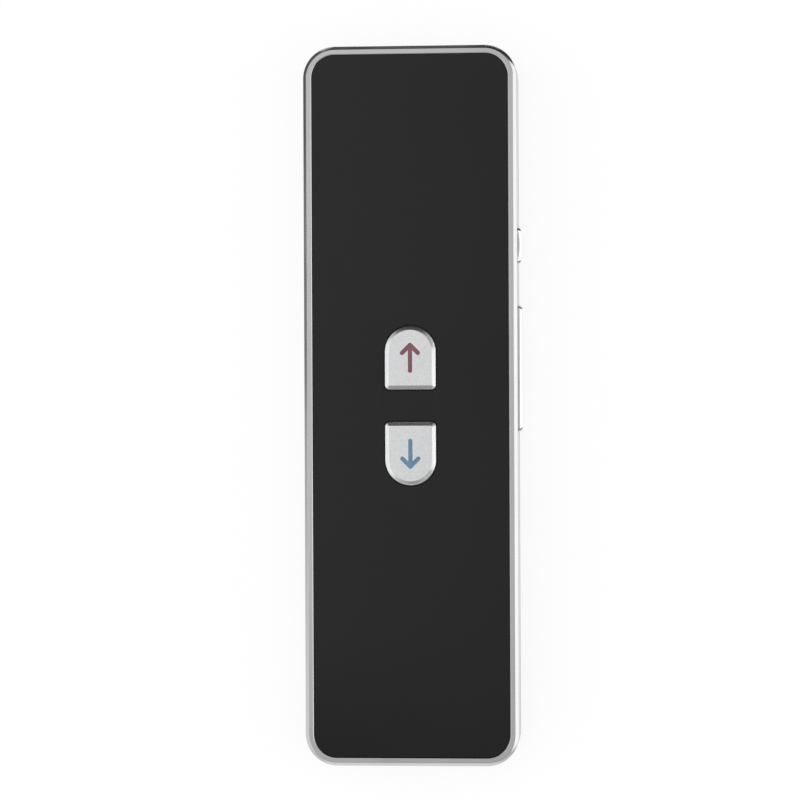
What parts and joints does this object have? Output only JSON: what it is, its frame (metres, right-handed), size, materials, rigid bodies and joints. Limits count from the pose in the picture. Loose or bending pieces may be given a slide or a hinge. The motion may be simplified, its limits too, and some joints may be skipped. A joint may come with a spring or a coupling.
{
  "type": "handheld translator",
  "caption": "Slim handheld voice translator: black front panel in a silver frame, talk keys with a flat and an arched end, side power key and volume rocker.",
  "frame": {"origin": "centre of the flat rear face, on which the device lies", "axes": "+Z out of the front panel, +Y towards the top end, +X towards the side with the power key and the volume rocker"},
  "size_m": [0.0424, 0.14, 0.0119],
  "materials": {
    "plated_frame": "satin silver plating on a moulded frame",
    "black_panel": "gloss black",
    "adhesive": "thin foam tape",
    "deck_plastic": "dark grey, moulded",
    "rear_plastic": "fine matte black",
    "steel": "plain steel",
    "black_mesh": "black woven mesh",
    "key_metal": "satin blasted aluminium with a bright bevel",
    "red_fill": "red paint in an engraving",
    "blue_fill": "blue paint in an engraving",
    "side_key_metal": "bright plated",
    "switch_plastic": "dark grey, moulded",
    "stem_plastic": "white, moulded",
    "board_green": "green solder mask",
    "board_blue": "blue solder mask",
    "chip_black": "black epoxy",
    "ceramic": "fired ceramic with tinned ends",
    "white_ceramic": "white ceramic",
    "ferrite": "dark ferrite",
    "led_cream": "yellow phosphor",
    "clear_plastic": "clear, polished",
    "gold": "gold flash",
    "socket_black": "black, moulded",
    "soft_rubber": "soft black rubber",
    "grey_foam": "closed-cell foam",
    "cell_foil": "laminated foil pouch",
    "wire_sleeve": "red and black sleeves",
    "plug_white": "natural nylon",
    "magnet": "nickel-plated magnet and yoke",
    "cone_film": "thin black film"
  },
  "bodies": {
    "housing": {"frame": "plated_frame", "front_panel": "black_panel", "panel_adhesive": "adhesive", "inner_deck": "deck_plastic", "rear_cover": "rear_plastic", "rear_screws": "steel", "board_screws": "steel", "grille_mesh": "black_mesh", "upper_switch_dome": "steel", "upper_switch_base": "switch_plastic", "lower_switch_dome": "steel", "lower_switch_base": "switch_plastic", "power_switch_dome": "steel", "power_switch_base": "switch_plastic", "rocker_pin": "steel", "volume_up_dome": "steel", "volume_up_switch_base": "switch_plastic", "volume_down_dome": "steel", "volume_down_switch_base": "switch_plastic", "main_board": "board_green", "processor_chip": "chip_black", "memory_chip": "chip_black", "power_chip": "chip_black", "radio_module": "board_blue", "radio_shield": "steel", "chip_antenna": "white_ceramic", "crystal": "steel", "inductor": "ferrite", "capacitors": "ceramic", "resistors": "chip_black", "status_led": "led_cream", "light_guide": "clear_plastic", "socket_shell": "steel", "socket_tongue": "socket_black", "socket_contacts": "gold", "microphone": "steel", "microphone_boot": "soft_rubber", "battery_cell": "cell_foil", "battery_foam": "grey_foam", "battery_protection_board": "board_green", "battery_leads": "wire_sleeve", "battery_plug": "plug_white", "battery_socket": "plug_white", "speaker_basket": "switch_plastic", "speaker_magnet": "magnet", "speaker_diaphragm": "cone_film", "speaker_gasket": "soft_rubber", "speaker_leads": "wire_sleeve"},
    "upper_key": {"upper_key_cap": "key_metal", "upper_key_mark": "red_fill", "upper_switch_plunger": "stem_plastic"},
    "lower_key": {"lower_key_cap": "key_metal", "lower_key_mark": "blue_fill", "lower_switch_plunger": "stem_plastic"},
    "power_key": {"power_key_cap": "side_key_metal", "power_switch_plunger": "stem_plastic"},
    "volume_rocker": {"volume_rocker_cap": "side_key_metal"},
    "volume_up_stem": {"volume_up_plunger": "stem_plastic"},
    "volume_down_stem": {"volume_down_plunger": "stem_plastic"}
  },
  "joints": [
    {"name": "upper_key_press", "type": "slide", "parent": "housing", "child": "upper_key", "axis": [0, 0, -1], "range_m": [0, 0.0003], "stiffness_N_per_m": 2500, "springref_m": -0.0003, "deforming": ["upper_switch_dome"]},
    {"name": "lower_key_press", "type": "slide", "parent": "housing", "child": "lower_key", "axis": [0, 0, -1], "range_m": [0, 0.0003], "stiffness_N_per_m": 2500, "springref_m": -0.0003, "deforming": ["lower_switch_dome"]},
    {"name": "power_key_press", "type": "slide", "parent": "housing", "child": "power_key", "axis": [-1, 0, 0], "range_m": [0, 0.00025], "stiffness_N_per_m": 2500, "springref_m": -0.0003, "deforming": ["power_switch_dome"]},
    {"name": "volume_rocker_tilt", "type": "hinge", "parent": "housing", "child": "volume_rocker", "pos_m": [0.0176, 0.0072, 0.00545], "axis": [0, 0, 1], "range_deg": [-1.6, 1.6], "stiffness_Nm_per_rad": 0.4},
    {"name": "volume_up_press", "type": "slide", "parent": "housing", "child": "volume_up_stem", "axis": [-1, 0, 0], "range_m": [-0.0003, 0.0003], "deforming": ["volume_up_dome"]},
    {"name": "volume_down_press", "type": "slide", "parent": "housing", "child": "volume_down_stem", "axis": [-1, 0, 0], "range_m": [-0.0003, 0.0003], "deforming": ["volume_down_dome"]}
  ],
  "couplings": [
    {"joint": "volume_up_press", "follows": "volume_rocker_tilt", "m_per_rad": 0.009},
    {"joint": "volume_down_press", "follows": "volume_rocker_tilt", "m_per_rad": -0.009}
  ]
}
